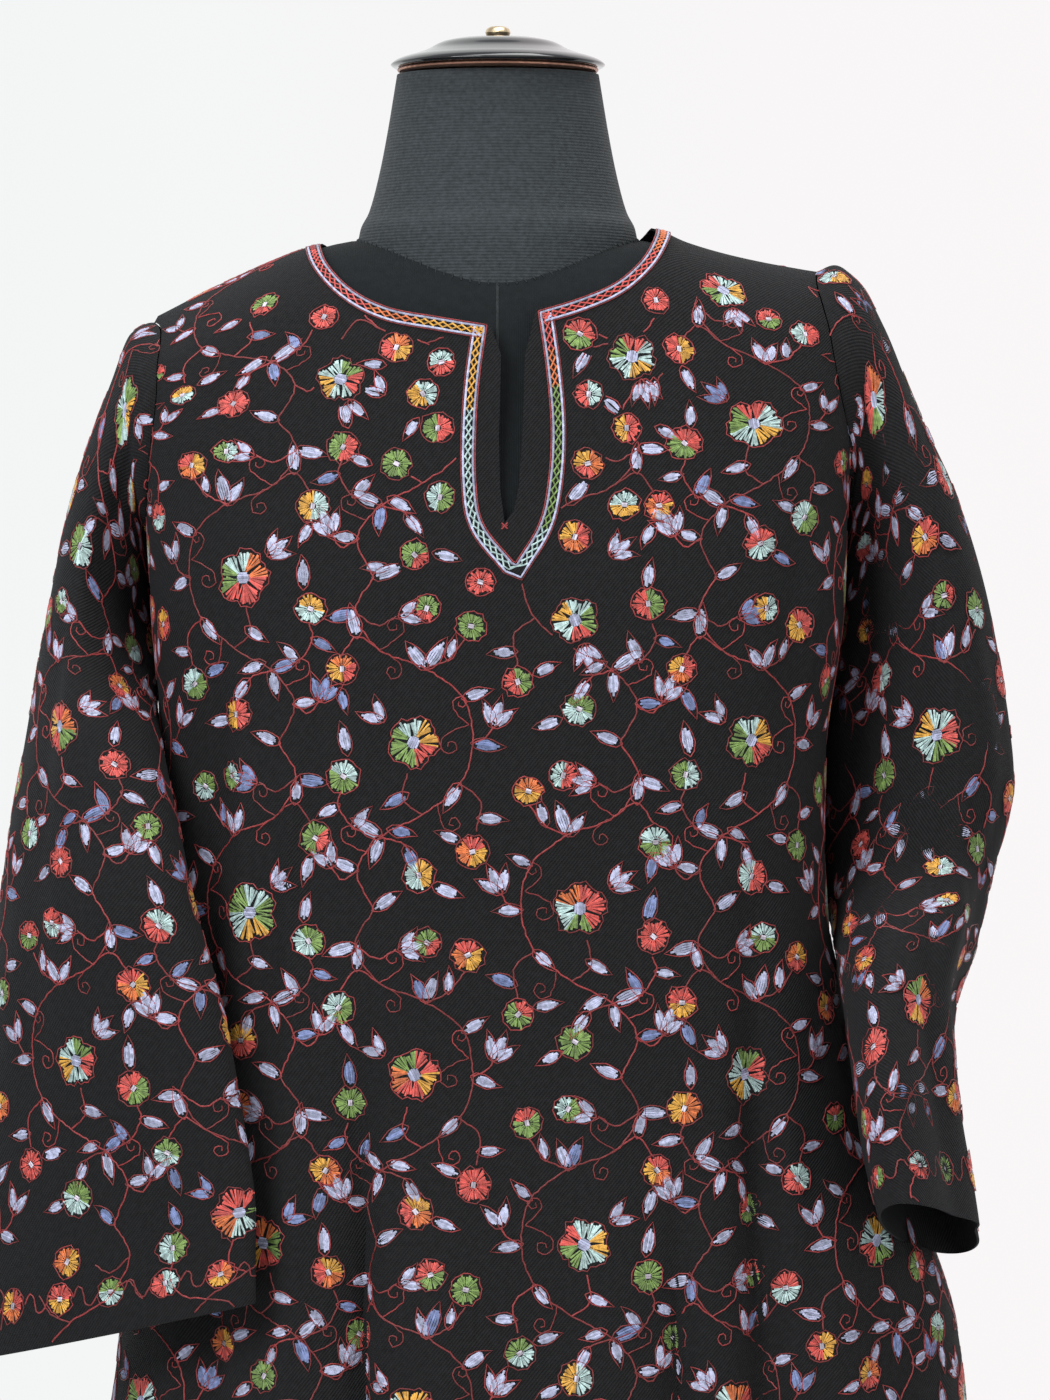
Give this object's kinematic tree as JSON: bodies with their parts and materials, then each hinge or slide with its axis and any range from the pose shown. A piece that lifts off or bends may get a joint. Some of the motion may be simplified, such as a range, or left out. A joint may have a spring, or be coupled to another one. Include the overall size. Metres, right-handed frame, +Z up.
{
  "type": "pheran on a dress form",
  "caption": "Loose wool pheran with wide sleeves and a round slit neck, all over flower and vine embroidery, on a limbless dress form with a pole and round base.",
  "frame": {"origin": "centre of the base's underside, on the floor under the form's neck", "axes": "+Z up, the front of the garment faces -Y, +X is to the right as seen from the front"},
  "size_m": [0.568, 0.3707, 1.5148],
  "materials": {
    "wool": "matte black twill wool with a fine nap",
    "jersey": "matte charcoal jersey cover",
    "knit": "matte charcoal fine rib knit cover",
    "bronze_trim": "polished rose bronze",
    "gloss_black": "glossy black",
    "pale_gold": "satin pale gold",
    "pole_steel": "polished tube",
    "base_black": "black enamelled plate"
  },
  "bodies": {
    "root": {"front": "wool", "back": "wool", "sleeve_left": "wool", "sleeve_right": "wool", "form_torso": "jersey", "form_neck": "knit", "neck_cap_rim": "bronze_trim", "neck_cap": "gloss_black", "cap_knob": "pale_gold", "pole": "pole_steel", "base": "base_black"}
  },
  "joints": []
}
